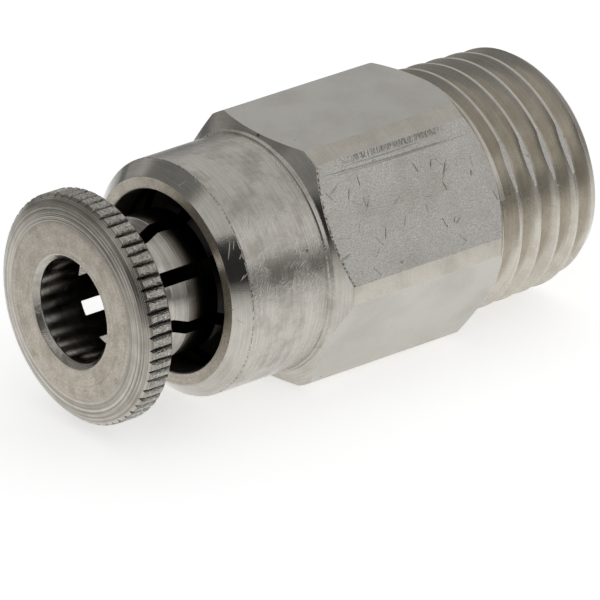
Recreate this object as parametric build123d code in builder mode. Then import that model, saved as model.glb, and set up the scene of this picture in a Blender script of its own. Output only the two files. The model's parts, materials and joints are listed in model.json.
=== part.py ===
from build123d import *
from math import cos, radians, tan
import os

os.makedirs("parts", exist_ok=True)

# Straight push-in fitting for a small hard tube, turned from hexagon brass bar
# and nickel plated. Millimetres. The axis is X and the tube goes in towards +X.
# X = 0 is where the hexagon ends and the taper thread starts. One hexagon flat
# lies level at the lowest Z, as the fitting comes to rest on a bench.

# The tube and how each piece clears it, as radial gaps
tube_diameter = 4.0
socket_clearance = 0.05
collet_clearance = 0.07
seal_lip_clearance = 0.15
tooth_bite = 0.08

# Hexagon for the spanner, with its corners turned down
hex_across_flats = 10.0
hex_corner_turning = 0.21
hex_length = 8.4
hex_front_angle = 30.0
hex_rear_angle = 45.0

# Collar in front of the hexagon, its end chamfer and the low ridge at its foot
collar_diameter = 9.54
collar_length = 4.6
collar_chamfer = 0.6
ridge_height = 0.08
ridge_width = 0.2

# Taper thread, kept as its plain blank at the crest diameter
thread_diameter = 10.0
thread_length = 5.4
thread_taper = 16.0
thread_lead_length = 0.8
thread_lead_angle = 30.0
flow_bore_diameter = 2.5
flow_bore_chamfer = 0.3

# Collet chamber: mouth, ramp that closes the collet on the tube, and wall
mouth_diameter = 7.36
mouth_length = 1.1
ramp_angle = 22.0
chamber_wall = 0.58

# Seal groove and the tube socket behind it
seal_lip = 0.5
seal_section = 1.4
seal_inner_diameter = 3.7
seal_end_play = 0.15
seal_seat_clearance = 0.02
socket_length = 3.0

# Release collet: knurled flange, neck and eight slotted fingers with heads
collet_reach = 3.2
release_travel = 3.0
flange_thickness = 1.4
flange_diameter = 9.24
flange_face_diameter = 7.0
flange_face_drop = 0.18
flange_front_chamfer = 0.28
flange_back_chamfer = 0.12
bore_chamfer = 0.22
knurl_teeth = 60
knurl_depth = 0.14
neck_wall = 0.43
finger_wall = 0.77
finger_step_angle = 37.0
neck_length = 1.7
neck_root = 0.15
slot_count = 8
slot_width = 0.58
slot_angle = 13.0
slot_web = 0.7
seat_clearance = 0.1
head_clearance = 0.1
head_length = 2.4
head_end_chamfer = 0.4
tooth_slope = 0.8
tooth_relief = 0.3
chamber_end_gap = 0.2

# Places along X
nose_x = -hex_length - collar_length
flange_back_x = nose_x - collet_reach
flange_face_x = flange_back_x - flange_thickness
slot_start_x = flange_back_x + slot_web
neck_end_x = flange_back_x + neck_length
ramp_start_x = nose_x + mouth_length
head_end_x = ramp_start_x + head_length
chamber_end_x = head_end_x + release_travel + chamber_end_gap
groove_start_x = chamber_end_x + seal_lip
groove_end_x = groove_start_x + seal_section + 2 * seal_end_play
socket_end_x = groove_end_x + socket_length

# Radii of the body
tube_radius = tube_diameter / 2
collar_radius = collar_diameter / 2
ridge_radius = collar_radius + ridge_height
mouth_radius = mouth_diameter / 2
chamber_radius = collar_radius - chamber_wall
socket_radius = tube_radius + socket_clearance
seal_lip_radius = tube_radius + seal_lip_clearance
seal_outer_radius = seal_inner_diameter / 2 + seal_section
groove_radius = seal_outer_radius + seal_seat_clearance
flow_bore_radius = flow_bore_diameter / 2
thread_start_radius = thread_diameter / 2
thread_lead_x = thread_length - thread_lead_length
thread_lead_radius = thread_start_radius - thread_lead_x / thread_taper / 2
thread_end_radius = thread_lead_radius - thread_lead_length * tan(radians(thread_lead_angle))

# Radii of the collet
collet_bore_radius = tube_radius + collet_clearance
neck_radius = collet_bore_radius + neck_wall
finger_radius = collet_bore_radius + finger_wall
head_front_radius = mouth_radius - seat_clearance
head_radius = chamber_radius - head_clearance
flange_radius = flange_diameter / 2
tooth_radius = tube_radius - tooth_bite


# One-piece body
flat_radius = hex_across_flats / 2
corner_radius = flat_radius / cos(radians(30)) - hex_corner_turning
front_slope = tan(radians(hex_front_angle))
rear_slope = tan(radians(hex_rear_angle))
ramp_slope = tan(radians(ramp_angle))
ridge_front_x = -hex_length - (flat_radius - ridge_radius) * front_slope - ridge_width
corner_front_x = -hex_length + (corner_radius - flat_radius) * front_slope
corner_rear_x = (flat_radius - corner_radius) * rear_slope
ramp_end_x = ramp_start_x + (chamber_radius - mouth_radius) / ramp_slope

with BuildPart() as body:
    # hexagon bar with a flat at the bottom
    with BuildSketch(Plane.YZ.offset(ridge_front_x)):
        RegularPolygon(radius=flat_radius, side_count=6, major_radius=False)
    extrude(amount=-ridge_front_x)
    # turned corners, the flat front cone and the steeper rear cone
    with BuildSketch():
        with BuildLine():
            Polyline(
                (ridge_front_x, 0),
                (ridge_front_x, ridge_radius),
                (ridge_front_x + ridge_width, ridge_radius),
                (corner_front_x, corner_radius),
                (corner_rear_x, corner_radius),
                (0, flat_radius),
                (0, 0),
                close=True,
            )
        make_face()
    revolve(axis=Axis.X, mode=Mode.INTERSECT)
    # collar with its nose chamfer
    with BuildSketch(Plane.YZ.offset(nose_x)):
        Circle(collar_radius)
    extrude(amount=ridge_front_x - nose_x)
    chamfer(body.edges().filter_by(GeomType.CIRCLE).sort_by(Axis.X)[0], collar_chamfer)
    # thread blank, 1 in 16 on diameter, with its lead chamfer
    with BuildSketch():
        with BuildLine():
            Polyline(
                (0, 0),
                (0, thread_start_radius),
                (thread_lead_x, thread_lead_radius),
                (thread_length, thread_end_radius),
                (thread_length, 0),
                close=True,
            )
        make_face()
    revolve(axis=Axis.X)
    # stepped bore: mouth, ramp, collet chamber, lip, seal groove, tube socket
    with BuildSketch():
        with BuildLine():
            Polyline(
                (nose_x, 0),
                (nose_x, mouth_radius),
                (ramp_start_x, mouth_radius),
                (ramp_end_x, chamber_radius),
                (chamber_end_x, chamber_radius),
                (chamber_end_x, seal_lip_radius),
                (groove_start_x, seal_lip_radius),
                (groove_start_x, groove_radius),
                (groove_end_x, groove_radius),
                (groove_end_x, socket_radius),
                (socket_end_x, socket_radius),
                (socket_end_x, 0),
                close=True,
            )
        make_face()
    revolve(axis=Axis.X, mode=Mode.SUBTRACT)
    # flow bore behind the tube's stop shoulder
    with BuildSketch(Plane.YZ.offset(socket_end_x)):
        Circle(flow_bore_radius)
    extrude(amount=thread_length - socket_end_x, mode=Mode.SUBTRACT)
    flow_mouth = body.faces().sort_by(Axis.X)[-1].inner_wires().edges()
    chamfer(flow_mouth, flow_bore_chamfer)

body.part.label = "body"
export_step(body.part, "parts/body.step")


# Release collet
head_front_x = ramp_start_x - (head_front_radius - finger_radius)
head_cone_end_x = ramp_start_x + (head_radius - head_front_radius) / ramp_slope
finger_step_x = neck_end_x + (finger_radius - neck_radius) / tan(radians(finger_step_angle))
knurl_front_radius = flange_radius - flange_front_chamfer
tooth_x = head_cone_end_x
tooth_back_x = tooth_x + tooth_relief / 2

with BuildPart() as release_collet:
    # flange, neck, fingers and heads in one turned outline
    with BuildSketch():
        with BuildLine():
            Polyline(
                (flange_face_x, collet_bore_radius),
                (flange_face_x, flange_face_diameter / 2),
                (flange_face_x + flange_face_drop, knurl_front_radius),
                (flange_face_x + flange_face_drop + flange_front_chamfer, flange_radius),
                (flange_back_x - flange_back_chamfer, flange_radius),
                (flange_back_x, flange_radius - flange_back_chamfer),
                (flange_back_x, neck_radius + neck_root),
                (flange_back_x + neck_root, neck_radius),
                (neck_end_x, neck_radius),
                (finger_step_x, finger_radius),
                (head_front_x, finger_radius),
                (ramp_start_x, head_front_radius),
                (head_cone_end_x, head_radius),
                (head_end_x, head_radius),
                (head_end_x, collet_bore_radius),
                close=True,
            )
        make_face()
    revolve(axis=Axis.X)
    head_end = release_collet.edges().filter_by(GeomType.CIRCLE).group_by(Axis.X)[-1]
    chamfer(head_end.sort_by(SortBy.RADIUS)[-1], head_end_chamfer)
    entry = release_collet.edges().filter_by(GeomType.CIRCLE).group_by(Axis.X)[0]
    chamfer(entry.sort_by(SortBy.RADIUS)[0], bore_chamfer)
    # gripping tooth: a long lead on the tube's way in, sharp against its way out
    with BuildSketch():
        with BuildLine():
            Polyline(
                (tooth_x - tooth_slope, collet_bore_radius),
                (tooth_x, tooth_radius),
                (tooth_back_x, collet_bore_radius),
                close=True,
            )
        make_face()
    revolve(axis=Axis.X)
    # relief bore behind the tooth
    with BuildSketch():
        with BuildLine():
            Polyline(
                (tooth_x, 0),
                (tooth_x, tooth_radius),
                (tooth_back_x, collet_bore_radius + tooth_relief),
                (head_end_x, collet_bore_radius + tooth_relief),
                (head_end_x, 0),
                close=True,
            )
        make_face()
    revolve(axis=Axis.X, mode=Mode.SUBTRACT)
    # saw slots that free the fingers, open at the inner end
    with BuildSketch(Plane.YZ.offset(slot_start_x)):
        with PolarLocations(head_radius / 2, slot_count, start_angle=slot_angle):
            Rectangle(head_radius + slot_width, slot_width)
    extrude(amount=head_end_x - slot_start_x, mode=Mode.SUBTRACT)
    # straight knurl: square V grooves that leave narrow lands
    with BuildSketch(Plane.YZ.offset(flange_face_x)):
        with PolarLocations(flange_radius, knurl_teeth):
            Rectangle(knurl_depth * 2 ** 0.5, knurl_depth * 2 ** 0.5, rotation=45)
    extrude(amount=flange_thickness, mode=Mode.SUBTRACT)

release_collet.part.label = "release_collet"
export_step(release_collet.part, "parts/release_collet.step")


# Seal ring that lies in the groove between the collet chamber and the socket
with BuildPart() as seal_ring:
    with BuildSketch():
        with Locations((groove_start_x + seal_end_play + seal_section / 2, seal_outer_radius - seal_section / 2)):
            Circle(seal_section / 2)
    revolve(axis=Axis.X)

seal_ring.part.label = "seal_ring"
export_step(seal_ring.part, "parts/seal_ring.step")
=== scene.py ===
import json
import math
import random

import bmesh
import bpy
from mathutils import Matrix, Vector

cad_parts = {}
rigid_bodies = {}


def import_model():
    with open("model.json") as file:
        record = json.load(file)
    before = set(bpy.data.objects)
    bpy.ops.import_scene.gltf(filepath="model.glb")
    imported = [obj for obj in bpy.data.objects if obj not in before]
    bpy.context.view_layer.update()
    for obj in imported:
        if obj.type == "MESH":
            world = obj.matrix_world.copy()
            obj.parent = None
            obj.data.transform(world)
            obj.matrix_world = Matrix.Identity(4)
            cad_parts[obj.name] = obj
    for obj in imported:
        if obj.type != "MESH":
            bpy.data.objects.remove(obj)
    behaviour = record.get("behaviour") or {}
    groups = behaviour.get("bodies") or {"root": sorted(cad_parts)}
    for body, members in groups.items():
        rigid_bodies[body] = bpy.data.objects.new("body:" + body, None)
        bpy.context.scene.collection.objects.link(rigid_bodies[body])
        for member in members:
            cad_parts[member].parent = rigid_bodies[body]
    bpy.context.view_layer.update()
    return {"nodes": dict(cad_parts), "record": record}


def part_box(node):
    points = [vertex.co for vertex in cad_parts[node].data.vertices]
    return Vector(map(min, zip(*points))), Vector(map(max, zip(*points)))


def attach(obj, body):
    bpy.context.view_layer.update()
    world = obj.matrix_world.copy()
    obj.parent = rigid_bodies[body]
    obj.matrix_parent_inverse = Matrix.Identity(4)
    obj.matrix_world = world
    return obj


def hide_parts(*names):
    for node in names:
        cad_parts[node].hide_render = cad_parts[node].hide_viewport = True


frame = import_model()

# The pieces are modelled in millimetres and turned into metres when they are finished.
mm = 0.001
xAxis = Vector((1, 0, 0))
fullTurn = 2 * math.pi
mergeDistance = 1e-5

# roundings that turning and wear leave on the edges
fineEdge = 0.02
brokenEdge = 0.03
easedEdge = 0.05
wornEdge = 0.2

bodyLow, bodyHigh = (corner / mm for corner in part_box("body"))
colletLow, colletHigh = (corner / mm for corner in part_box("release_collet"))
mounts = {mount["name"]: mount for mount in frame["record"]["mounts"]}
noseX = bodyLow.x
threadEndX = bodyHigh.x
flatRadius = -bodyLow.z                  # half the hexagon across its flats
socketRadius = mounts["tube_socket"]["dims"]["r_mm"]
socketLength = mounts["tube_socket"]["dims"]["length_mm"]
socketEndX = mounts["tube_socket"]["pos_m"][0] / mm + socketLength / 2


def linearColour(hexCode):
    # sRGB hex to the linear values that Blender's sockets take
    channels = [int(hexCode[i:i + 2], 16) / 255 for i in (1, 3, 5)]
    return [c / 12.92 if c <= 0.04045 else ((c + 0.055) / 1.055) ** 2.4 for c in channels] + [1.0]


# shaping tools

def turn(outline, steps, segments=2):
    # outline is a closed list of (x, radius, rounding); spinning it makes a closed turned solid
    bm = bmesh.new()
    points = [bm.verts.new((x, 0, radius)) for x, radius, rounding in outline]
    roundings = [rounding for x, radius, rounding in outline]
    for start, end in zip(points, points[1:] + points[:1]):
        bm.edges.new((start, end))
    for size in sorted(set(roundings) - {0}):
        corners = [point for point, rounding in zip(points, roundings) if rounding == size]
        bmesh.ops.bevel(bm, geom=corners, offset=size, offset_type="OFFSET", segments=segments,
                        profile=0.5, affect="VERTICES", material=-1)
    bmesh.ops.spin(bm, geom=bm.verts[:] + bm.edges[:], cent=(0, 0, 0), axis=xAxis, dvec=(0, 0, 0),
                   angle=fullTurn, steps=steps, use_merge=True, use_duplicate=False)
    bmesh.ops.remove_doubles(bm, verts=bm.verts[:], dist=mergeDistance)
    bmesh.ops.recalc_face_normals(bm, faces=bm.faces[:])
    return bm


def makePiece(name, bm):
    mesh = bpy.data.meshes.new(name)
    bm.to_mesh(mesh)
    bm.free()
    piece = bpy.data.objects.new(name, mesh)
    bpy.context.scene.collection.objects.link(piece)
    return piece


def applyModifiers(piece):
    bpy.context.view_layer.update()
    graph = bpy.context.evaluated_depsgraph_get()
    mesh = bpy.data.meshes.new_from_object(piece.evaluated_get(graph))
    piece.modifiers.clear()
    piece.data = mesh


def combine(piece, tool, operation):
    # joins or cuts two closed solids, then removes the tool
    modifier = piece.modifiers.new("combine", "BOOLEAN")
    modifier.operation = operation
    modifier.solver = "EXACT"
    modifier.object = tool
    applyModifiers(piece)
    bpy.data.objects.remove(tool)


# body: one piece of turned hexagon bar

bodySizes = {
    "steps": 180,
    "mouthRadius": 3.68,
    "mouthLength": 1.1,
    "rampAngle": 22.0,
    "chamberRadius": 4.19,
    "chamberEndX": -6.3,
    "sealLip": 0.5,
    "sealLipRadius": 2.15,
    "grooveRadius": 3.27,
    "flowBoreRadius": 1.25,
    "flowBoreChamfer": 0.3,
    "collarRadius": 4.77,
    "collarChamfer": 0.6,
    "ridgeFrontX": -8.687,
    "ridgeWidth": 0.2,
    "ridgeHeight": 0.08,
    "cornerRadius": 5.5635,
    "frontAngle": 30.0,
    "edgeBevel": 0.035,
    "mouthEase": 0.04,
    "ridgeRise": 0.03,
}

threadSizes = {
    "pitch": 1.0,
    "crestRadius": 5.0,
    "taper": 32.0,               # length for one millimetre less radius
    "depth": 0.6,
    "flankAngle": 30.0,
    "crestFlat": 0.11,
    "crownInset": 0.015,         # the crest is slightly round across its flat
    "crownDrop": 0.008,
    "shoulderDrop": 0.03,
    "rootOverlap": 0.12,         # the ridge is sunk this far into the body under its root
    "hiddenTaper": 0.3,          # radius that the ridge loses for each millimetre inside the hexagon
    "crestAtNinety": 0.747,      # where the first crest crosses the top of the thread
    "leadLength": 0.8,
    "leadAngle": 30.0,
    "wornAngle": 148.5,          # the crests are rubbed flat here
    "wornDepth": 0.117,
    "wornAboveRadius": 4.7,
    "runOutStart": 40.0,         # first, shallow turn that the die left beside the hexagon
    "runOutEnd": 162.0,
    "runOutX": 0.27,             # its edge at this angle
    "runOutAngle": 150.0,
    "runOutWidth": 0.9,
    "runOutDrop": 0.02,
    "stepsPerTurn": 120,
    "envelopeSteps": 172,        # not the body's count, so that few edges fall together
    "envelopeStartX": -1.0,
    "envelopeClear": 0.06,
    "envelopeDepth": 0.45,
    "endGap": 0.015,
}


def hexagonBody():
    s = bodySizes
    t = threadSizes
    frontSlope = math.tan(math.radians(s["frontAngle"]))
    ridgeRadius = s["collarRadius"] + s["ridgeHeight"]
    ridgeBackX = s["ridgeFrontX"] + s["ridgeWidth"]
    cornerFrontX = ridgeBackX + (s["cornerRadius"] - ridgeRadius) * frontSlope
    cornerRearX = flatRadius - s["cornerRadius"]
    rootRadius = t["crestRadius"] - t["depth"]
    rearConeEndX = flatRadius - rootRadius
    rampSlope = math.tan(math.radians(s["rampAngle"]))
    rampEndX = noseX + s["mouthLength"] + (s["chamberRadius"] - s["mouthRadius"]) / rampSlope
    socketStartX = socketEndX - socketLength
    grooveStartX = s["chamberEndX"] + s["sealLip"]
    outline = [
        (noseX, s["mouthRadius"] + s["mouthEase"], 0),
        (noseX, s["collarRadius"] - s["collarChamfer"], brokenEdge),
        (noseX + s["collarChamfer"], s["collarRadius"], brokenEdge),
        (s["ridgeFrontX"], s["collarRadius"], fineEdge),
        (s["ridgeFrontX"] + s["ridgeRise"], ridgeRadius, brokenEdge),
        (ridgeBackX, ridgeRadius, easedEdge),
        (cornerFrontX, s["cornerRadius"], brokenEdge),
        (cornerRearX, s["cornerRadius"], brokenEdge),
        (rearConeEndX, rootRadius, easedEdge),
        (threadEndX, rootRadius - threadEndX / t["taper"], 0),
        (threadEndX, s["flowBoreRadius"] + s["flowBoreChamfer"], brokenEdge),
        (threadEndX - s["flowBoreChamfer"], s["flowBoreRadius"], brokenEdge),
        (socketEndX, s["flowBoreRadius"], brokenEdge),
        (socketEndX, socketRadius, 0),
        (socketStartX, socketRadius, brokenEdge),
        (socketStartX, s["grooveRadius"], 0),
        (grooveStartX, s["grooveRadius"], 0),
        (grooveStartX, s["sealLipRadius"], brokenEdge),
        (s["chamberEndX"], s["sealLipRadius"], brokenEdge),
        (s["chamberEndX"], s["chamberRadius"], 0),
        (rampEndX, s["chamberRadius"], 0),
        (noseX + s["mouthLength"], s["mouthRadius"], easedEdge),
        (noseX + s["mouthEase"], s["mouthRadius"], 0),
    ]
    bm = turn(outline, s["steps"])
    # the six flats are cut off the turned corners
    for k in range(6):
        angle = math.radians(30 + 60 * k)
        outward = Vector((0, math.cos(angle), math.sin(angle)))
        cut = bmesh.ops.bisect_plane(bm, geom=bm.verts[:] + bm.edges[:] + bm.faces[:], dist=mergeDistance,
                                     plane_co=outward * flatRadius, plane_no=outward, clear_outer=True)
        rim = [item for item in cut["geom_cut"] if isinstance(item, bmesh.types.BMEdge)]
        bmesh.ops.contextual_create(bm, geom=rim)
    bmesh.ops.recalc_face_normals(bm, faces=bm.faces[:])
    flats = [face for face in bm.faces if len(face.verts) > 8]      # no other face has so many corners
    rims = list({edge for face in flats for edge in face.edges})
    print("body: flats", len(flats), "rim edges", len(rims))
    bmesh.ops.bevel(bm, geom=rims, offset=s["edgeBevel"], offset_type="OFFSET", segments=2, profile=0.5,
                    affect="EDGES", clamp_overlap=True, material=-1)
    return makePiece("fittingBody", bm)


def helix(name, profile, startAngle, turns, startX):
    # spins a closed profile of (x, radius) along the right-handed thread; angles run from +Y to +Z
    t = threadSizes
    steps = round(turns * t["stepsPerTurn"])
    bm = bmesh.new()
    face = bm.faces.new([bm.verts.new((startX + x, 0, radius)) for x, radius in profile])
    toStart = Matrix.Rotation(startAngle - fullTurn / 4, 3, "X")
    bmesh.ops.rotate(bm, verts=bm.verts[:], cent=(0, 0, 0), matrix=toStart)
    bmesh.ops.spin(bm, geom=[face] + face.edges[:] + face.verts[:], cent=(0, 0, 0), axis=xAxis,
                   dvec=(t["pitch"] / t["stepsPerTurn"], 0, 0), angle=fullTurn * steps / t["stepsPerTurn"],
                   steps=steps, use_merge=False, use_duplicate=False)
    bmesh.ops.holes_fill(bm, edges=[edge for edge in bm.edges if edge.is_boundary], sides=0)
    # narrower towards the end by the taper, and inside the hexagon so that it stays below the flats
    for vert in bm.verts:
        radius = math.hypot(vert.co.y, vert.co.z)
        less = max(vert.co.x / t["taper"], -t["hiddenTaper"] * vert.co.x)
        vert.co.y *= 1 - less / radius
        vert.co.z *= 1 - less / radius
    bmesh.ops.recalc_face_normals(bm, faces=bm.faces[:])
    return makePiece(name, bm)


def threadRidge():
    t = threadSizes
    slope = math.tan(math.radians(t["flankAngle"]))
    rootRadius = t["crestRadius"] - t["depth"]
    half = t["crestFlat"] / 2
    rootHalf = half + t["depth"] * slope
    foot = (rootHalf + t["rootOverlap"] * slope, rootRadius - t["rootOverlap"])
    shoulder = (half + t["shoulderDrop"] * slope, t["crestRadius"] - t["shoulderDrop"])
    crown = (half - t["crownInset"], t["crestRadius"] - t["crownDrop"])
    rising = [(-x, radius) for x, radius in (foot, shoulder, crown)]
    profile = rising + [(0.0, t["crestRadius"]), crown, shoulder, foot]
    startX = t["crestAtNinety"] - t["pitch"]
    turns = (threadEndX + t["pitch"] - startX) / t["pitch"]
    ridge = helix("threadRidge", profile, fullTurn / 4, turns, startX)
    combine(ridge, threadEnvelope(), "INTERSECT")
    return ridge


def threadEnvelope():
    # keeps the ridge inside the lead chamfer and the end face, and gives the crests their worn flats
    t = threadSizes
    clear = t["envelopeClear"]
    inner = t["crestRadius"] - t["depth"] - t["envelopeDepth"]
    leadSlope = math.tan(math.radians(t["leadAngle"]))
    leadX = threadEndX - t["leadLength"] - clear / (leadSlope - 1 / t["taper"])
    leadRadius = t["crestRadius"] + clear - leadX / t["taper"]
    startX = t["envelopeStartX"]
    endX = threadEndX - t["endGap"]
    bm = turn([
        (startX, inner, 0),
        (startX, t["crestRadius"] + clear - startX / t["taper"], 0),
        (leadX, leadRadius, 0),
        (endX, leadRadius - (endX - leadX) * leadSlope, brokenEdge),
        (endX, inner, 0),
    ], t["envelopeSteps"])
    worn = math.radians(t["wornAngle"])
    outward = Vector((0, math.cos(worn), math.sin(worn)))
    cut = bmesh.ops.bisect_plane(bm, geom=bm.verts[:] + bm.edges[:] + bm.faces[:], dist=mergeDistance,
                                 plane_co=outward * (t["crestRadius"] - t["wornDepth"]),
                                 plane_no=outward + xAxis / t["taper"], clear_outer=True)
    rim = [item for item in cut["geom_cut"] if isinstance(item, bmesh.types.BMEdge)]
    bmesh.ops.contextual_create(bm, geom=rim)
    bmesh.ops.recalc_face_normals(bm, faces=bm.faces[:])
    return makePiece("threadEnvelope", bm)


def runOutLand():
    # the die's last turn beside the hexagon is not cut to depth, and stops at a small step
    t = threadSizes
    slope = math.tan(math.radians(t["flankAngle"]))
    top = t["crestRadius"] - t["shoulderDrop"]
    bottom = t["crestRadius"] - t["depth"] - t["rootOverlap"]
    profile = [
        (-t["runOutWidth"], bottom),
        (-t["runOutWidth"], top),
        (-brokenEdge, top),
        (0.0, top - t["runOutDrop"]),
        ((top - bottom) * slope, bottom),
    ]
    startX = t["runOutX"] + (t["runOutStart"] - t["runOutAngle"]) / 360 * t["pitch"]
    turns = (t["runOutEnd"] - t["runOutStart"]) / 360
    return helix("runOutLand", profile, math.radians(t["runOutStart"]), turns, startX)


# release collet: knurled flange, neck and eight slotted fingers

colletSizes = {
    "steps": 240,
    "boreRadius": 2.07,
    "boreChamfer": 0.22,
    "faceRadius": 3.5,
    "faceDrop": 0.18,
    "flangeRadius": 4.62,
    "frontChamfer": 0.28,
    "backChamfer": 0.12,
    "flangeThickness": 1.4,
    "neckRadius": 2.5,
    "neckRoot": 0.15,
    "neckLength": 1.7,
    "fingerRadius": 2.84,
    "fingerStepAngle": 37.0,
    "rampStartX": -11.9,
    "headFrontRadius": 3.58,
    "headRadius": 4.09,
    "headConeAngle": 22.0,
    "headEndChamfer": 0.4,
    "toothRadius": 1.92,
    "toothSlope": 0.8,
    "toothBack": 0.15,
    "reliefRadius": 2.37,
    "knurlTeeth": 60,
    "knurlDepth": 0.14,
    "knurlSeed": 7,
    "knurlDepthShare": (0.84, 1.14),   # a groove's depth against the mean one
    "knurlLean": 2.2,                  # degrees
    "knurlShift": 0.09,                # share of the spacing
    "knurlCutterLength": 1.4,          # times the flange's thickness
    "slotCount": 8,
    "slotWidth": 0.58,
    "slotAngle": 13.0,
    "slotWeb": 0.7,
    "slotCutterRadius": 1.2,           # where the cutters start, in the open bore
    "slotCutterDepth": 4.0,
    "slotCutterPast": 1.0,
}


def colletBlank():
    s = colletSizes
    faceX = colletLow.x
    backX = faceX + s["flangeThickness"]
    endX = colletHigh.x
    neckEndX = backX + s["neckLength"]
    stepX = neckEndX + (s["fingerRadius"] - s["neckRadius"]) / math.tan(math.radians(s["fingerStepAngle"]))
    chamferRadius = s["flangeRadius"] - s["frontChamfer"]
    headFrontX = s["rampStartX"] - (s["headFrontRadius"] - s["fingerRadius"])
    headSlope = math.tan(math.radians(s["headConeAngle"]))
    headConeX = s["rampStartX"] + (s["headRadius"] - s["headFrontRadius"]) / headSlope
    outline = [
        (faceX, s["boreRadius"] + s["boreChamfer"], easedEdge),
        (faceX, s["faceRadius"], wornEdge),
        (faceX + s["faceDrop"], chamferRadius, wornEdge),
        (faceX + s["faceDrop"] + s["frontChamfer"], s["flangeRadius"], brokenEdge),
        (backX - s["backChamfer"], s["flangeRadius"], brokenEdge),
        (backX, s["flangeRadius"] - s["backChamfer"], brokenEdge),
        (backX, s["neckRadius"] + s["neckRoot"], easedEdge),
        (backX + s["neckRoot"], s["neckRadius"], easedEdge),
        (neckEndX, s["neckRadius"], easedEdge),
        (stepX, s["fingerRadius"], brokenEdge),
        (headFrontX, s["fingerRadius"], easedEdge),
        (s["rampStartX"], s["headFrontRadius"], brokenEdge),
        (headConeX, s["headRadius"], brokenEdge),
        (endX - s["headEndChamfer"], s["headRadius"], brokenEdge),
        (endX, s["headRadius"] - s["headEndChamfer"], brokenEdge),
        (endX, s["reliefRadius"], brokenEdge),
        (headConeX + s["toothBack"], s["reliefRadius"], 0),
        (headConeX, s["toothRadius"], fineEdge),
        (headConeX - s["toothSlope"], s["boreRadius"], brokenEdge),
        (faceX + s["boreChamfer"], s["boreRadius"], easedEdge),
    ]
    return makePiece("releaseCollet", turn(outline, s["steps"], 3))


def knurlCutters():
    s = colletSizes
    random.seed(s["knurlSeed"])
    bm = bmesh.new()
    side = s["knurlDepth"] * math.sqrt(2)
    for k in range(s["knurlTeeth"]):
        # a little uneven, as a knurling wheel leaves them
        depth = side * random.uniform(*s["knurlDepthShare"])
        made = bmesh.ops.create_cube(bm, size=1)["verts"]
        bmesh.ops.scale(bm, vec=(s["flangeThickness"] * s["knurlCutterLength"], depth, depth), verts=made)
        bmesh.ops.rotate(bm, verts=made, cent=(0, 0, 0), matrix=Matrix.Rotation(math.radians(45), 3, "X"))
        lean = math.radians(random.uniform(-s["knurlLean"], s["knurlLean"]))
        bmesh.ops.rotate(bm, verts=made, cent=(0, 0, 0), matrix=Matrix.Rotation(lean, 3, "Z"))
        middle = (colletLow.x + s["flangeThickness"] / 2, 0, s["flangeRadius"])
        bmesh.ops.translate(bm, vec=middle, verts=made)
        angle = fullTurn * (k + random.uniform(-s["knurlShift"], s["knurlShift"])) / s["knurlTeeth"]
        bmesh.ops.rotate(bm, verts=made, cent=(0, 0, 0), matrix=Matrix.Rotation(angle, 3, "X"))
    return makePiece("knurlCutters", bm)


def slotCutters():
    s = colletSizes
    bm = bmesh.new()
    startX = colletLow.x + s["flangeThickness"] + s["slotWeb"]
    length = colletHigh.x + s["slotCutterPast"] - startX
    middle = (startX + length / 2, s["slotCutterRadius"] + s["slotCutterDepth"] / 2, 0)
    for k in range(s["slotCount"]):
        made = bmesh.ops.create_cube(bm, size=1)["verts"]
        bmesh.ops.scale(bm, vec=(length, s["slotCutterDepth"], s["slotWidth"]), verts=made)
        bmesh.ops.translate(bm, vec=middle, verts=made)
        angle = math.radians(s["slotAngle"]) + fullTurn * k / s["slotCount"]
        bmesh.ops.rotate(bm, verts=made, cent=(0, 0, 0), matrix=Matrix.Rotation(angle, 3, "X"))
    return makePiece("slotCutters", bm)


def shadeTurned(piece, angle=24):
    # wide faces keep their own direction up to their rims; this needs the piece still in millimetres
    piece.data.polygons.foreach_set("use_smooth", [True] * len(piece.data.polygons))
    piece.data.set_sharp_from_angle(angle=math.radians(angle))
    modifier = piece.modifiers.new("weightedNormals", "WEIGHTED_NORMAL")
    modifier.keep_sharp = True
    applyModifiers(piece)
    piece.data.transform(Matrix.Scale(mm, 4))


body = hexagonBody()
combine(body, threadRidge(), "UNION")
combine(body, runOutLand(), "UNION")
shadeTurned(body)
print("body", len(body.data.polygons), "faces")

collet = colletBlank()
combine(collet, knurlCutters(), "DIFFERENCE")
combine(collet, slotCutters(), "DIFFERENCE")
shadeTurned(collet)
print("collet", len(collet.data.polygons), "faces")


# materials

def addNode(tree, kind, settings=None, links=None):
    # settings name an input by its name or number, or else a property of the node
    node = tree.nodes.new(kind)
    for name, value in (settings or {}).items():
        if isinstance(name, int) or name in node.inputs:
            node.inputs[name].default_value = value
        else:
            setattr(node, name, value)
    for name, source in (links or {}).items():
        socket = source if isinstance(source, bpy.types.NodeSocket) else source.outputs[0]
        tree.links.new(socket, node.inputs[name])
    return node


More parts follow.
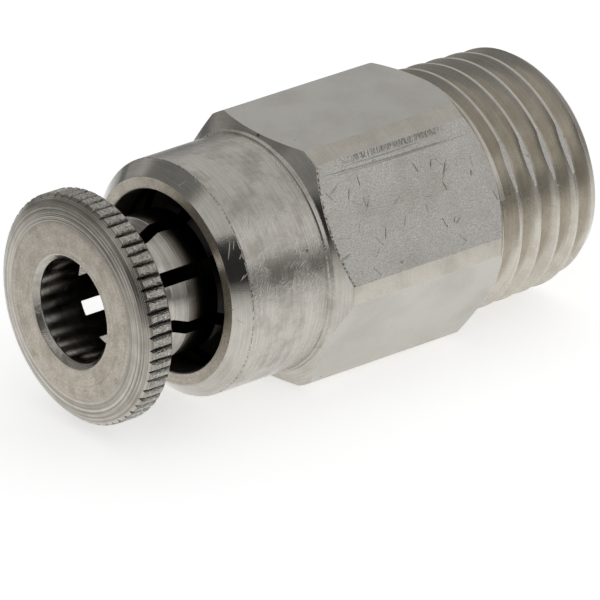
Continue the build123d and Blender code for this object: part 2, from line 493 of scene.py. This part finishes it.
# Every finish is the same nickel plate over brass: a warm grey metal that mirrors softly. What differs is
# how the brass under it was cut. Sizes are millimetres; colours are sRGB. "X" places are along the axis.
# Tool marks, grain and strokes are finer on the real part, and are drawn as coarse as they need to show.
plainLook = {
    "colour": "#c8c4bc",
    "stain": "#a29c90",
    "stainSize": 1.0,
    "stainFrom": 0.44,        # value of the cloud pattern where a stain begins and where it is full
    "stainTo": 0.64,
    "stainShare": 0.42,
    "roughness": 0.24,
    "roughnessSpread": 0.12,
    "markPitch": 0.07,        # fine tool marks: their spacing, and how far one runs round the axis
    "markRun": 1.6,
    "markHeight": 0.0016,
    "markTone": 0.12,
    "streakPitch": 0.16,      # coarse tool marks
    "streakRun": 9.0,
    "streakHeight": 0.0,
    "streakTone": 0.0,
    "rubAngle": -62,          # strokes of a tumbled or handled part, in patches
    "rubWidth": 0.04,
    "rubLength": 0.5,
    "rubHeight": 0.0,
    "grainSize": 0.06,
    "grainHeight": 0.0015,
    "grainTone": 0.06,
    "pitSpacing": 1.1,
    "pitShare": 0.16,
    "pitRadius": 0.04,
    "pitColour": "#2b2823",
    "scratchSpacing": 1.1,
    "scratchLength": 0.45,
    "scratchWidth": 0.02,
    "scratchHeight": 0.003,
    "oilFromX": 100.0,        # where painted shade inside the part begins and where it is full
    "oilToX": 101.0,
    "oilShare": 0.8,
    "dirtRadius": 0.0,        # below this radius the grooves are darker
    "dirtReach": 0.1,
    "dirtShare": 0.0,
    "dents": [],              # single marks: from X, from angle, to X, to angle, half width, darkness
    "tickBand": None,         # a row of short upright ticks: from X, to X, from angle, to angle
    "tickFineness": (20.0, 2.5, 1.0),   # along the axis and round it
    "burrX": None,            # a ragged burr along an edge: its X at the flats' radius, and how it leans
    "burrSlope": 0.0,
    "burrReach": 0.07,
    "burrFineness": 9.0,
    "burrDarkness": 0.8,
}
noiseLow = 0.3                # nearly all values of a noise pattern lie between these two
noiseHigh = 0.7


def nickel(name, **changes):
    look = {**plainLook, **changes}
    material = bpy.data.materials.new(name)
    material.use_nodes = True
    tree = material.node_tree
    shader = tree.nodes["Principled BSDF"]
    shader.inputs["Metallic"].default_value = 1.0

    # millimetres along the axis and away from it, and the surface unrolled
    coordinates = addNode(tree, "ShaderNodeTexCoord")
    place = addNode(tree, "ShaderNodeVectorMath", {"operation": "SCALE", "Scale": 1 / mm},
                    {0: coordinates.outputs["Object"]})
    axes = addNode(tree, "ShaderNodeSeparateXYZ", {}, {0: place})
    alongX = axes.outputs["X"]
    outward = addNode(tree, "ShaderNodeVectorMath", {"operation": "MULTIPLY", 1: (0, 1, 1)}, {0: place})
    radius = addNode(tree, "ShaderNodeVectorMath", {"operation": "LENGTH"}, {0: outward}).outputs["Value"]
    angle = addNode(tree, "ShaderNodeMath", {"operation": "ARCTAN2"},
                    {0: axes.outputs["Z"], 1: axes.outputs["Y"]})
    arc = addNode(tree, "ShaderNodeMath", {"operation": "MULTIPLY", 1: flatRadius}, {0: angle})
    unrolled = addNode(tree, "ShaderNodeCombineXYZ", {}, {"X": alongX, "Y": arc})

    # tool marks: noise drawn out round the axis, fine and coarse; on a face they follow the radius
    ringOnFace = 0.7
    ring = addNode(tree, "ShaderNodeMath", {"operation": "MULTIPLY_ADD", 1: ringOnFace},
                   {0: radius, 2: alongX})
    turning = []
    for pitch, run in ((look["markPitch"], look["markRun"]), (look["streakPitch"], look["streakRun"])):
        across = addNode(tree, "ShaderNodeMath", {"operation": "DIVIDE", 1: pitch}, {0: ring})
        sideways = addNode(tree, "ShaderNodeVectorMath", {"operation": "SCALE", "Scale": 1 / run},
                           {0: outward})
        sidewaysAxes = addNode(tree, "ShaderNodeSeparateXYZ", {}, {0: sideways})
        markPlace = addNode(tree, "ShaderNodeCombineXYZ", {},
                            {"X": across, "Y": sidewaysAxes.outputs["Y"], "Z": sidewaysAxes.outputs["Z"]})
        turning.append(addNode(tree, "ShaderNodeTexNoise", {"Scale": 1.0, "Detail": 2.0, "Roughness": 0.6},
                               {"Vector": markPlace}))
    marks, streaks = turning

    grain = addNode(tree, "ShaderNodeTexNoise",
                    {"Scale": 1 / look["grainSize"], "Detail": 2.0, "Roughness": 0.65}, {"Vector": place})
    cloud = addNode(tree, "ShaderNodeTexNoise",
                    {"Scale": 1 / look["stainSize"], "Detail": 5.0, "Roughness": 0.62}, {"Vector": place})
    stain = addNode(tree, "ShaderNodeMapRange",
                    {"From Min": look["stainFrom"], "From Max": look["stainTo"],
                     "To Max": look["stainShare"]}, {"Value": cloud})

    # pits: a small dot in a few of the cells
    cells = addNode(tree, "ShaderNodeTexVoronoi", {"Scale": 1 / look["pitSpacing"]}, {"Vector": place})
    dot = addNode(tree, "ShaderNodeMapRange", {"From Min": look["pitRadius"] / look["pitSpacing"],
                                               "From Max": 0.5 * look["pitRadius"] / look["pitSpacing"]},
                  {"Value": cells.outputs["Distance"]})
    pick = addNode(tree, "ShaderNodeSeparateColor", {}, {0: cells.outputs["Color"]})
    chosen = addNode(tree, "ShaderNodeMath", {"operation": "LESS_THAN", 1: look["pitShare"]},
                     {0: pick.outputs[0]})
    dark = addNode(tree, "ShaderNodeMath", {"operation": "MULTIPLY"}, {0: dot, 1: chosen})

    # scratches: one short stroke of its own direction in each cell of the unrolled surface
    scaled = addNode(tree, "ShaderNodeVectorMath",
                     {"operation": "SCALE", "Scale": 1 / look["scratchSpacing"]}, {0: unrolled})
    strokes = addNode(tree, "ShaderNodeTexVoronoi", {"voronoi_dimensions": "2D", "Scale": 1.0},
                      {"Vector": scaled})
    offset = addNode(tree, "ShaderNodeVectorMath", {"operation": "SUBTRACT"},
                     {0: scaled, 1: strokes.outputs["Position"]})
    strokePick = addNode(tree, "ShaderNodeSeparateColor", {}, {0: strokes.outputs["Color"]})
    bearing = addNode(tree, "ShaderNodeMath", {"operation": "MULTIPLY", 1: fullTurn},
                      {0: strokePick.outputs[0]})
    swung = addNode(tree, "ShaderNodeVectorRotate", {"rotation_type": "Z_AXIS"},
                    {"Vector": offset, "Angle": bearing})
    swungAxes = addNode(tree, "ShaderNodeSeparateXYZ", {}, {0: swung})
    side = addNode(tree, "ShaderNodeMath", {"operation": "ABSOLUTE"}, {0: swungAxes.outputs["Y"]})
    reach = addNode(tree, "ShaderNodeMath", {"operation": "ABSOLUTE"}, {0: swungAxes.outputs["X"]})
    thin = addNode(tree, "ShaderNodeMapRange", {"From Min": look["scratchWidth"] / look["scratchSpacing"],
                                                "From Max": 0.0}, {"Value": side})
    ends = addNode(tree, "ShaderNodeMapRange",
                   {"From Min": 0.5 * look["scratchLength"] / look["scratchSpacing"],
                    "From Max": 0.3 * look["scratchLength"] / look["scratchSpacing"]}, {"Value": reach})
    strength = addNode(tree, "ShaderNodeMath", {"operation": "MULTIPLY"}, {0: thin, 1: ends})
    cuts = addNode(tree, "ShaderNodeMath", {"operation": "MULTIPLY"}, {0: strength, 1: strokePick.outputs[1]})

    # single marks that the part really has, each a tapered stroke
    for fromX, fromAngle, toX, toAngle, width, darkness in look["dents"]:
        start = Vector((fromX, math.radians(fromAngle) * flatRadius, 0))
        stop = Vector((toX, math.radians(toAngle) * flatRadius, 0))
        run = stop - start
        heading = math.atan2(run.y, run.x)
        local = addNode(tree, "ShaderNodeMapping",
                        {"vector_type": "TEXTURE", "Location": (start + stop) / 2,
                         "Rotation": (0, 0, heading), "Scale": (run.length / 2 + width, width, 1)},
                        {"Vector": unrolled})
        stroke = addNode(tree, "ShaderNodeTexGradient", {"gradient_type": "SPHERICAL"}, {"Vector": local})
        cuts = addNode(tree, "ShaderNodeMath", {"operation": "MAXIMUM"}, {0: cuts, 1: stroke})
        dark = addNode(tree, "ShaderNodeMath", {"operation": "MULTIPLY_ADD", 1: darkness},
                       {0: stroke, 2: dark})

    if look["tickBand"]:
        fromX, toX, fromAngle, toAngle = look["tickBand"]
        reachX = (toX - fromX) / 2
        reachArc = math.radians(toAngle - fromAngle) / 2 * flatRadius
        middle = (fromX + reachX, math.radians(fromAngle + toAngle) / 2 * flatRadius, 0)
        inBand = addNode(tree, "ShaderNodeMapping", {"vector_type": "TEXTURE", "Location": middle,
                                                     "Scale": (reachX, reachArc, 1)}, {"Vector": unrolled})
        bandAxes = addNode(tree, "ShaderNodeSeparateXYZ", {}, {0: inBand})
        inside = None
        for axis in ("X", "Y"):
            away = addNode(tree, "ShaderNodeMath", {"operation": "ABSOLUTE"}, {0: bandAxes.outputs[axis]})
            fade = addNode(tree, "ShaderNodeMapRange", {"From Min": 1.0, "From Max": 0.6}, {"Value": away})
            inside = addNode(tree, "ShaderNodeMath", {"operation": "MULTIPLY", 1: 1.0},
                             {0: fade, 1: inside} if inside else {0: fade})
        tickPlace = addNode(tree, "ShaderNodeVectorMath", {"operation": "MULTIPLY", 1: look["tickFineness"]},
                            {0: unrolled})
        ticks = addNode(tree, "ShaderNodeTexNoise", {"Scale": 1.0, "Detail": 1.0}, {"Vector": tickPlace})
        sharp = addNode(tree, "ShaderNodeMapRange", {"From Min": 0.48, "From Max": 0.62}, {"Value": ticks})
        row = addNode(tree, "ShaderNodeMath", {"operation": "MULTIPLY"}, {0: sharp, 1: inside})
        cuts = addNode(tree, "ShaderNodeMath", {"operation": "MAXIMUM"}, {0: cuts, 1: row})

    if look["burrX"] is not None:
        edgeAtAxis = look["burrX"] - look["burrSlope"] * flatRadius
        edgeX = addNode(tree, "ShaderNodeMath",
                        {"operation": "MULTIPLY_ADD", 1: look["burrSlope"], 2: edgeAtAxis}, {0: radius})
        fromEdge = addNode(tree, "ShaderNodeMath", {"operation": "SUBTRACT"}, {0: alongX, 1: edgeX})
        awayFromEdge = addNode(tree, "ShaderNodeMath", {"operation": "ABSOLUTE"}, {0: fromEdge})
        nearEdge = addNode(tree, "ShaderNodeMapRange", {"From Min": look["burrReach"], "From Max": 0.0},
                           {"Value": awayFromEdge})
        teeth = addNode(tree, "ShaderNodeTexNoise", {"Scale": look["burrFineness"], "Detail": 2.0},
                        {"Vector": place})
        tooth = addNode(tree, "ShaderNodeMapRange", {"From Min": 0.46, "From Max": 0.56}, {"Value": teeth})
        burr = addNode(tree, "ShaderNodeMath", {"operation": "MULTIPLY"}, {0: nearEdge, 1: tooth})
        cuts = addNode(tree, "ShaderNodeMath", {"operation": "MAXIMUM"}, {0: cuts, 1: burr})
        dark = addNode(tree, "ShaderNodeMath", {"operation": "MULTIPLY_ADD", 1: look["burrDarkness"]},
                       {0: burr, 2: dark})

    # rubbed strokes, in patches
    rubPlace = addNode(tree, "ShaderNodeMapping",
                       {"vector_type": "TEXTURE", "Rotation": (0, 0, math.radians(look["rubAngle"])),
                        "Scale": (look["rubLength"], look["rubWidth"], 1)}, {"Vector": unrolled})
    rubs = addNode(tree, "ShaderNodeTexNoise", {"noise_dimensions": "2D", "Scale": 1.0, "Detail": 2.0},
                   {"Vector": rubPlace})
    rubPatch = addNode(tree, "ShaderNodeMapRange", {"From Min": 0.56, "From Max": 0.44}, {"Value": cloud})
    rubbed = addNode(tree, "ShaderNodeMath", {"operation": "MULTIPLY"}, {0: rubs, 1: rubPatch})

    # colour: plate with stains, darker tool marks, grain, painted shade deeper inside, darker grooves, and
    # nearly black pits
    plate = addNode(tree, "ShaderNodeMix", {"data_type": "RGBA"}, {0: stain})
    plate.inputs[6].default_value = linearColour(look["colour"])
    plate.inputs[7].default_value = linearColour(look["stain"])
    tone = None
    tones = ((marks, look["markTone"]), (streaks, look["streakTone"]), (grain, look["grainTone"]))
    for pattern, share in tones:
        shade = addNode(tree, "ShaderNodeMapRange", {"From Min": noiseLow, "From Max": noiseHigh,
                                                     "To Min": 1 - share, "To Max": 1 + share / 2},
                        {"Value": pattern})
        tone = addNode(tree, "ShaderNodeMath", {"operation": "MULTIPLY", 1: 1.0},
                       {0: shade, 1: tone} if tone else {0: shade})
    # painted shade: the colour darkens along the axis deeper inside, where the part lies in shade
    oil = addNode(tree, "ShaderNodeMapRange",
                  {"interpolation_type": "SMOOTHSTEP", "From Min": look["oilFromX"],
                   "From Max": look["oilToX"], "To Min": 1.0, "To Max": 1 - look["oilShare"]},
                  {"Value": alongX})
    # darker below a radius, in the knurl's grooves
    dirt = addNode(tree, "ShaderNodeMapRange",
                   {"From Min": look["dirtRadius"] - look["dirtReach"], "From Max": look["dirtRadius"],
                    "To Min": 1 - look["dirtShare"], "To Max": 1.0}, {"Value": radius})
    oiled = addNode(tree, "ShaderNodeMath", {"operation": "MULTIPLY"}, {0: tone, 1: oil})
    dirty = addNode(tree, "ShaderNodeMath", {"operation": "MULTIPLY"}, {0: oiled, 1: dirt})
    marked = addNode(tree, "ShaderNodeVectorMath", {"operation": "SCALE"},
                     {0: plate.outputs[2], "Scale": dirty})
    pitted = addNode(tree, "ShaderNodeMix", {"data_type": "RGBA", "clamp_factor": True}, {0: dark, 6: marked})
    pitted.inputs[7].default_value = linearColour(look["pitColour"])
    tree.links.new(pitted.outputs[2], shader.inputs["Base Color"])

    rough = addNode(tree, "ShaderNodeMapRange", {"From Min": noiseLow, "From Max": noiseHigh,
                                                 "To Min": look["roughness"] - look["roughnessSpread"] / 2,
                                                 "To Max": look["roughness"] + look["roughnessSpread"] / 2},
                    {"Value": cloud})
    tree.links.new(rough.outputs[0], shader.inputs["Roughness"])

    # relief, in millimetres
    normal = None
    reliefs = (
        (marks, look["markHeight"], False),
        (streaks, look["streakHeight"], False),
        (grain, look["grainHeight"], False),
        (rubbed, look["rubHeight"], False),
        (cuts, look["scratchHeight"], True),
    )
    for pattern, height, invert in reliefs:
        if height:
            bump = addNode(tree, "ShaderNodeBump",
                           {"Strength": 1.0, "Distance": height * mm, "invert": invert}, {"Height": pattern})
            if normal:
                tree.links.new(normal.outputs[0], bump.inputs["Normal"])
            normal = bump
    tree.links.new(normal.outputs[0], shader.inputs["Normal"])
    return material


# where the front cone meets the flats' radius
coneSlope = math.tan(math.radians(bodySizes["frontAngle"]))
coneHeight = flatRadius - bodySizes["collarRadius"] - bodySizes["ridgeHeight"]
ridgeEndX = bodySizes["ridgeFrontX"] + bodySizes["ridgeWidth"] + coneSlope * coneHeight

# marks on the flat that faces the camera: X and height above its middle line, to X and height
flatMarks = [
    (-8.03, 1.96, -1.62, 1.81, 0.045, 0.45),
    (-7.58, 1.84, -0.3, 1.79, 0.035, 0.3),
    (-6.68, 2.09, -2.94, 2.07, 0.045, 0.4),
    (-2.01, 1.10, -2.44, 0.40, 0.055, 0.3),
    (-2.70, 1.28, -2.82, 0.99, 0.05, 0.2),
    (-1.0, 0.42, -1.04, 0.19, 0.05, 0.2),
    (-7.38, 1.47, -7.78, 1.21, 0.05, 0.25),
    (-7.52, 1.42, -7.88, 1.18, 0.04, 0.15),
    (-2.21, -1.20, -2.42, -1.35, 0.05, 0.2),
    (-2.45, -1.12, -2.52, -1.30, 0.04, 0.2),
    (-5.76, -0.66, -5.93, -1.10, 0.045, 0.15),
    (-6.13, 0.57, -6.36, 0.23, 0.045, 0.15),
    (-8.25, -1.30, -7.79, -1.20, 0.07, 0.4),
    (-5.55, -2.10, -5.49, -2.10, 0.06, 0.6),
]


def onFlat(marks, flatAngle):
    # heights above the middle line of a flat become angles about the axis
    return [(fromX, flatAngle - math.degrees(math.atan(fromUp / flatRadius)),
             toX, flatAngle - math.degrees(math.atan(toUp / flatRadius)), width, darkness)
            for fromX, fromUp, toX, toUp, width, darkness in marks]


# pits and nicks on the collar and its chamfer: X and angle
collarMarks = [
    (-9.50, 156.4, -9.46, 156.6, 0.07, 0.9),
    (-9.36, 214.5, -9.30, 217.5, 0.08, 0.5),
    (-11.7, 131, -12.1, 139, 0.02, 0.1),
    (-11.2, 128, -11.9, 141, 0.02, 0.1),
    (-10.4, 133, -11.3, 146, 0.02, 0.1),
]
chamferMarks = [
    (-12.60, 140, -12.84, 149, 0.018, 0.0),
    (-12.50, 141, -12.62, 145, 0.015, 0.0),
    (-12.52, 158, -12.66, 161, 0.02, 0.0),
]
coneMarks = [
    (-8.47, 90.5, -8.41, 91.5, 0.09, 0.9),
]

# turned collar and rear cone: close rings, grey stains and patches of rubbed strokes that catch the light
turnedNickel = nickel(
    "nickelPlatedBrassTurned", rubHeight=0.012, dents=collarMarks, stain="#948e82", stainShare=0.5,
    markTone=0.16, scratchHeight=0.006)
# turned corners of the hexagon: smooth pale bands with faint long rings
bandNickel = nickel(
    "nickelPlatedBrassCorner", colour="#c8c3b9", markTone=0.05, markHeight=0.0006, markRun=5.0,
    rubHeight=0.002, stainShare=0.3)
# nose chamfer, cut last and keenly: nearly a mirror, so it shows one black patch, with a burr at its edge
brightNickel = nickel(
    "nickelPlatedBrassBright", roughness=0.12, roughnessSpread=0.05, markHeight=0.0008, stainShare=0.2,
    scratchHeight=0.010, scratchLength=0.3, dents=chamferMarks,
    burrX=noseX + bodySizes["collarChamfer"], burrReach=0.05)
# front cone: smooth enough to go from light to dark round the hexagon, with one dark pit
coneNickel = nickel(
    "nickelPlatedBrassCone", roughness=0.15, roughnessSpread=0.06, markHeight=0.001, stainShare=0.3,
    dents=coneMarks)
# flats as the bar was drawn: even satin with no rings
drawnNickel = nickel(
    "nickelPlatedBrassDrawnFlat", roughness=0.34, markHeight=0.0, markTone=0.0, grainHeight=0.003,
    colour="#c8c5be", stainShare=0.2, stainSize=2.5)
# a drawn flat that has been handled: grainy satin with scratches, a row of ticks and a burr in front
scuffedNickel = nickel(
    "nickelPlatedBrassScuffedFlat", roughness=0.3, markHeight=0.0, markTone=0.0, grainHeight=0.012,
    grainTone=0.24, colour="#cac7c1", stainShare=0.25, stainSize=2.0, rubHeight=0.008, rubAngle=100,
    scratchHeight=0.034, scratchWidth=0.03, burrX=ridgeEndX + 0.05, burrSlope=coneSlope,
    dents=onFlat(flatMarks, 150), tickBand=(-6.9, -1.4, 123.4, 126.9))
# thread cut with a die: pale and a little dull, with long marks that follow the turns
threadNickel = nickel(
    "nickelPlatedBrassThread", colour="#d3cec4", stain="#b8afa0", roughness=0.28, markRun=4.0,
    markHeight=0.002, stainShare=0.35)
# bored inside: dull and a little darker, with painted shade that deepens further in
boredNickel = nickel(
    "nickelPlatedBrassBored", colour="#b4aea3", roughness=0.45, oilFromX=-12.9, oilToX=-11.6, oilShare=0.4)
# reamed bore of the collet: smooth, so that it shows bright and dark stripes along the axis
entryNickel = nickel(
    "nickelPlatedBrassReamed", colour="#bbb8b2", stain="#8a8780", roughness=0.16, markTone=0.3)
# faced ends: brownish, cloudy and slightly rough
faceNickel = nickel(
    "nickelPlatedBrassFaced", colour="#c4bcb0", stain="#a49a8b", roughness=0.3, markRun=6.0,
    stainSize=0.8, stainShare=0.6, grainTone=0.26, grainHeight=0.010)
# outer slope of the flange, turned with a coarse feed: rings that can be counted
slopeNickel = nickel(
    "nickelPlatedBrassCoarseTurned", colour="#c8c2b8", roughness=0.2, markRun=9.0,
    streakPitch=0.075, streakHeight=0.022, streakTone=0.5)
# rolled knurl: worn, pitted lands, darker between them
knurledNickel = nickel(
    "nickelPlatedBrassKnurled", roughness=0.22, grainSize=0.11, grainHeight=0.08, grainTone=0.5,
    rubAngle=0, rubHeight=0.10, rubWidth=0.06, rubLength=0.3, dirtRadius=4.60, dirtReach=0.10,
    dirtShare=0.9)
# neck and fingers: smooth rings, with painted shade that darkens them nearly to black further in
fingerNickel = nickel(
    "nickelPlatedBrassFingers", roughness=0.2, markRun=4.0, streakHeight=0.006, streakTone=0.2,
    oilFromX=-14.6, oilToX=-13.0, oilShare=0.97)


def finishOf(piece, finishes, choose):
    # gives each face the finish that choose names from its middle and its direction
    names = list(finishes)
    for material in finishes.values():
        piece.data.materials.append(material)
    for face in piece.data.polygons:
        middle = face.center / mm
        outward = Vector((0, middle.y, middle.z))
        radius = outward.length
        lean = face.normal.dot(outward / radius) if radius else 0
        face.material_index = names.index(choose(middle, radius, face.normal, lean))


squareOn = 0.99               # a face that points this much along a direction is square to it
wornDirection = Vector((0, math.cos(math.radians(threadSizes["wornAngle"])),
                        math.sin(math.radians(threadSizes["wornAngle"]))))


def bodyFinish(middle, radius, normal, lean):
    inside = noseX + 0.03 < middle.x < threadEndX - 0.03
    if lean < -0.2 or (inside and radius < 4.2 and abs(normal.x) > 0.5):
        return "bored"
    if middle.x < noseX + 0.01 and normal.x < -squareOn:
        return "faced"
    if middle.x < noseX + bodySizes["collarChamfer"] and 0.2 < lean < 0.9:
        return "bright"
    if middle.x > 0 and radius < threadSizes["crestRadius"]:
        worn = radius > threadSizes["wornAboveRadius"] and normal.dot(wornDirection) > squareOn
        return "scuffed" if worn else "thread"
    if lean > 0.85 and abs(normal.x) < 0.01 and abs(normal.dot(Vector(middle)) - flatRadius) < 0.001:
        return "scuffed" if normal.y < 0 < normal.z else "flat"
    if middle.x > ridgeEndX and abs(normal.x) < 0.05:
        return "band"
    if middle.x > bodySizes["ridgeFrontX"] + bodySizes["ridgeWidth"] and normal.x < -0.8:
        return "cone"
    return "turned"


def colletFinish(middle, radius, normal, lean):
    if lean < -0.2:
        return "turned" if middle.x < colletLow.x + colletSizes["boreChamfer"] else "entry"
    rimX = colletLow.x + colletSizes["faceDrop"] + colletSizes["frontChamfer"]
    if middle.x < rimX and normal.x < -0.4:
        return "slope" if radius > colletSizes["faceRadius"] else "face"
    if radius > colletSizes["headRadius"] + 0.1:
        return "knurled"
    return "fingers"


finishOf(body, {"turned": turnedNickel, "band": bandNickel, "bright": brightNickel, "cone": coneNickel,
                "flat": drawnNickel, "scuffed": scuffedNickel, "thread": threadNickel, "bored": boredNickel,
                "faced": faceNickel}, bodyFinish)
finishOf(collet, {"turned": turnedNickel, "face": faceNickel, "slope": slopeNickel, "knurled": knurledNickel,
                  "fingers": fingerNickel, "entry": entryNickel}, colletFinish)


def nitrileRubber():
    # moulded black rubber: dull, with a faint skin
    material = bpy.data.materials.new("nitrileRubberMoulded")
    material.use_nodes = True
    tree = material.node_tree
    shader = tree.nodes["Principled BSDF"]
    shader.inputs["Base Color"].default_value = linearColour("#1c1b1a")
    coordinates = addNode(tree, "ShaderNodeTexCoord")
    grainsInMetre = 6000.0
    skin = addNode(tree, "ShaderNodeTexNoise", {"Scale": grainsInMetre, "Detail": 3.0},
                   {"Vector": coordinates.outputs["Object"]})
    rough = addNode(tree, "ShaderNodeMapRange", {"To Min": 0.45, "To Max": 0.7}, {"Value": skin})
    tree.links.new(rough.outputs[0], shader.inputs["Roughness"])
    bump = addNode(tree, "ShaderNodeBump", {"Strength": 1.0, "Distance": 0.004 * mm}, {"Height": skin})
    tree.links.new(bump.outputs[0], shader.inputs["Normal"])
    return material


sealRing = frame["nodes"]["seal_ring"]
sealRing.data.materials.clear()
sealRing.data.materials.append(nitrileRubber())
print("finishes", [material.name for material in body.data.materials])

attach(body, "fitting")
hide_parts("body")
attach(collet, "collet")
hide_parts("release_collet")


# studio

studio = {
    "lens": 540.0,
    "place": (-212.11, -241.68, 147.52),  # millimetres from the part's origin
    "bearing": 40.451,                    # degrees from +Y towards +X
    "down": 25.329,
    "roll": 1.271,
    "sensor": 36.0,
    "farthest": 10.0,                     # metres
    "floorSize": 1600.0,
    "paperWhite": 0.84,
    "paperLift": 0.58,
    # painted light in the paper's reflections: a pool of light near the part and a dusk beyond it
    "poolX": -5.0,
    "poolLevel": 0.60,
    "poolNear": 4.0,
    "poolFar": 52.0,
    "duskLevel": 0.18,
    "duskNear": 50.0,
    "duskFar": 90.0,
}


def addCamera():
    # the photograph's viewing angle, fitted to the edges and ellipses seen in it
    camera = bpy.data.objects.new("photoCamera", bpy.data.cameras.new("photoCamera"))
    bpy.context.scene.collection.objects.link(camera)
    camera.data.lens = studio["lens"]
    camera.data.sensor_width = studio["sensor"]
    camera.data.clip_end = studio["farthest"]
    toBearing = Matrix.Rotation(math.radians(-studio["bearing"]), 4, "Z")
    tilt = Matrix.Rotation(math.radians(90 - studio["down"]), 4, "X")
    roll = Matrix.Rotation(math.radians(studio["roll"]), 4, "Z")
    camera.matrix_world = Matrix.Translation(Vector(studio["place"]) * mm) @ toBearing @ tilt @ roll
    bpy.context.scene.camera = camera


def addFloor():
    bm = bmesh.new()
    bmesh.ops.create_grid(bm, x_segments=1, y_segments=1, size=studio["floorSize"] / 2)
    bmesh.ops.translate(bm, vec=(0, 0, -flatRadius), verts=bm.verts[:])
    floor = makePiece("paperFloor", bm)
    floor.data.transform(Matrix.Scale(mm, 4))
    material = bpy.data.materials.new("whitePaper")
    material.use_nodes = True
    tree = material.node_tree
    tree.nodes.clear()
    # the paper is white to the camera; in the metal it glows as a painted pool of light that fades outwards
    # into a painted dusk
    path = addNode(tree, "ShaderNodeLightPath")
    white = studio["paperWhite"]
    paper = addNode(tree, "ShaderNodeBsdfDiffuse", {"Color": (white, white, white, 1)})
    coordinates = addNode(tree, "ShaderNodeTexCoord")
    poolMiddle = (studio["poolX"] * mm, 0, -flatRadius * mm)
    away = addNode(tree, "ShaderNodeVectorMath", {"operation": "DISTANCE", 1: poolMiddle},
                   {0: coordinates.outputs["Object"]}).outputs["Value"]
    # painted light: a glow seen only in reflections, brightest near the part
    pool = addNode(tree, "ShaderNodeMapRange",
                   {"interpolation_type": "SMOOTHSTEP", "From Min": studio["poolNear"] * mm,
                    "From Max": studio["poolFar"] * mm, "To Min": studio["poolLevel"], "To Max": 0.0},
                   {"Value": away})
    bounced = addNode(tree, "ShaderNodeMath", {"operation": "MAXIMUM"},
                      {0: path.outputs["Is Glossy Ray"], 1: path.outputs["Is Transmission Ray"]})
    mirrored = addNode(tree, "ShaderNodeMath", {"operation": "MULTIPLY"}, {0: bounced, 1: pool})
    lift = addNode(tree, "ShaderNodeMath", {"operation": "MULTIPLY_ADD", 1: studio["paperLift"]},
                   {0: path.outputs["Is Camera Ray"], 2: mirrored})
    glow = addNode(tree, "ShaderNodeEmission", {"Color": (1, 1, 1, 1)}, {"Strength": lift})
    both = addNode(tree, "ShaderNodeAddShader", {}, {0: paper, 1: glow})
    outside = addNode(tree, "ShaderNodeMapRange", {"interpolation_type": "SMOOTHSTEP",
                                                   "From Min": studio["duskNear"] * mm,
                                                   "From Max": studio["duskFar"] * mm}, {"Value": away})
    duskShare = addNode(tree, "ShaderNodeMath", {"operation": "MULTIPLY"}, {0: bounced, 1: outside})
    dusk = addNode(tree, "ShaderNodeEmission", {"Color": (1, 1, 1, 1), "Strength": studio["duskLevel"]})
    paperOrDusk = addNode(tree, "ShaderNodeMixShader", {}, {0: duskShare, 1: both, 2: dusk})
    addNode(tree, "ShaderNodeOutputMaterial", {}, {"Surface": paperOrDusk})
    floor.data.materials.append(material)


# What the metal mirrors besides the floor: a pale tent, darker near the table, with patches in it.
# Bearings are degrees from +X towards +Y, and a level of 1 is white.
tent = {
    "tableLevel": 0.36,
    "wallLevel": 0.62,
    "tableHeight": 4,
    "wallHeight": 24,
    "patches": [
        # side wall
        {"bearing": 128, "height": 32, "reach": 28, "soft": 14, "level": 0.22},
        # shade beside the camera
        {"bearing": 170, "height": 14, "reach": 14, "soft": 10, "level": 0.28},
        # window
        {"bearing": -52, "height": 30, "reach": 17, "soft": 14, "level": 0.86},
        # gap at the table
        {"bearing": -58, "height": 5, "reach": 10, "soft": 10, "level": 0.16},
        # camera and its stand
        {"bearing": -160, "height": 8, "reach": 22, "soft": 4, "level": 0.03},
    ],
}


def studioWorld():
    world = bpy.data.worlds.new("lightTent")
    bpy.context.scene.world = world
    world.use_nodes = True
    tree = world.node_tree
    tree.nodes.clear()
    direction = addNode(tree, "ShaderNodeTexCoord").outputs["Generated"]
    axes = addNode(tree, "ShaderNodeSeparateXYZ", {}, {0: direction})
    level = addNode(tree, "ShaderNodeMapRange", {"interpolation_type": "SMOOTHSTEP",
                                                 "From Min": math.sin(math.radians(tent["tableHeight"])),
                                                 "From Max": math.sin(math.radians(tent["wallHeight"])),
                                                 "To Min": tent["tableLevel"], "To Max": tent["wallLevel"]},
                    {"Value": axes.outputs["Z"]})
    for patch in tent["patches"]:
        bearing = math.radians(patch["bearing"])
        height = math.radians(patch["height"])
        spread = math.cos(height)
        towards = (math.cos(bearing) * spread, math.sin(bearing) * spread, math.sin(height))
        inLine = addNode(tree, "ShaderNodeVectorMath", {"operation": "DOT_PRODUCT", 1: towards},
                         {0: direction})
        inside = addNode(tree, "ShaderNodeMapRange",
                         {"interpolation_type": "SMOOTHSTEP",
                          "From Min": math.cos(math.radians(patch["reach"] + patch["soft"] / 2)),
                          "From Max": math.cos(math.radians(patch["reach"] - patch["soft"] / 2))},
                         {"Value": inLine.outputs["Value"]})
        level = addNode(tree, "ShaderNodeMix", {"data_type": "FLOAT", 3: patch["level"]},
                        {0: inside, 2: level})
    path = addNode(tree, "ShaderNodeLightPath")
    mirrored = addNode(tree, "ShaderNodeBackground", {"Color": (1, 1, 1, 1)}, {"Strength": level})
    white = addNode(tree, "ShaderNodeBackground", {"Color": (1, 1, 1, 1), "Strength": 1.0})
    mix = addNode(tree, "ShaderNodeMixShader", {}, {0: path.outputs["Is Camera Ray"], 1: mirrored, 2: white})
    addNode(tree, "ShaderNodeOutputWorld", {}, {"Surface": mix})


addCamera()
addFloor()
studioWorld()
bpy.context.scene.view_settings.view_transform = "Standard"
